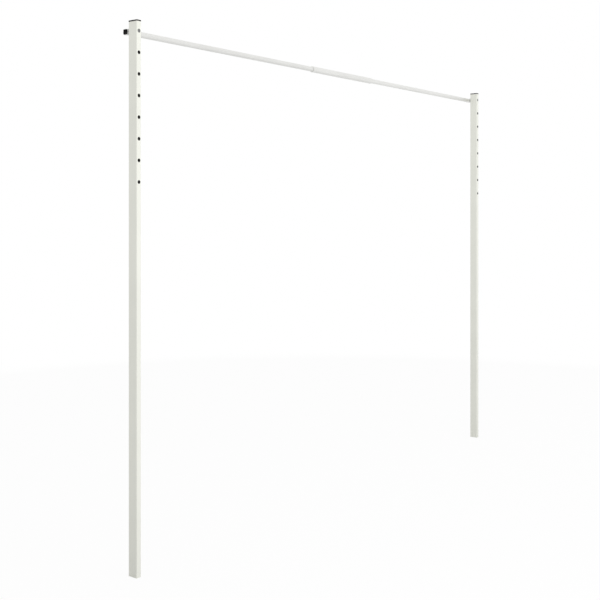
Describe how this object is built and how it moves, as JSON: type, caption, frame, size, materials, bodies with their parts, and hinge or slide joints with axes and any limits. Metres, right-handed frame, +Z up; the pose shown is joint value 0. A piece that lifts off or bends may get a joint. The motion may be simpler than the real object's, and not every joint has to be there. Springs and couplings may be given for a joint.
{
  "type": "height-adjustable horizontal bar",
  "caption": "Gymnastics horizontal bar: a sleeved round steel bar pinned behind two slim drilled posts, set higher or lower by moving the pins.",
  "frame": {"origin": "on the floor line, midway between the two posts, at the posts' centre depth", "axes": "+X along the bar, -Y the front face of the posts, +Z up"},
  "size_m": [3.537, 0.0952, 2.581],
  "materials": {
    "post_paint": "satin off-white powder coat",
    "black_plastic": "fine-grained black moulding",
    "bar_steel": "fine-ground bright steel",
    "saddle_steel": "satin steel",
    "screw_steel": "zinc-plated steel",
    "pin_steel": "turned and knurled grey steel"
  },
  "bodies": {
    "posts": {"left_post": "post_paint", "right_post": "post_paint", "left_post_cap": "black_plastic", "right_post_cap": "black_plastic"},
    "bar": {"left_bar_tube": "bar_steel", "right_bar_tube": "bar_steel", "bar_sleeve": "bar_steel", "sleeve_screws": "screw_steel", "left_bar_plug": "black_plastic", "right_bar_plug": "black_plastic", "left_saddle": "saddle_steel", "right_saddle": "saddle_steel"},
    "left_pin": {"left_pin": "pin_steel"},
    "right_pin": {"right_pin": "pin_steel"}
  },
  "joints": [
    {"name": "bar_height", "type": "slide", "parent": "posts", "child": "bar", "axis": [0, 0, 1], "range_m": [-0.6, 0]},
    {"name": "left_pin_pull", "type": "slide", "parent": "bar", "child": "left_pin", "axis": [0, 1, 0], "range_m": [0, 0.06]},
    {"name": "right_pin_pull", "type": "slide", "parent": "bar", "child": "right_pin", "axis": [0, 1, 0], "range_m": [0, 0.06]}
  ]
}
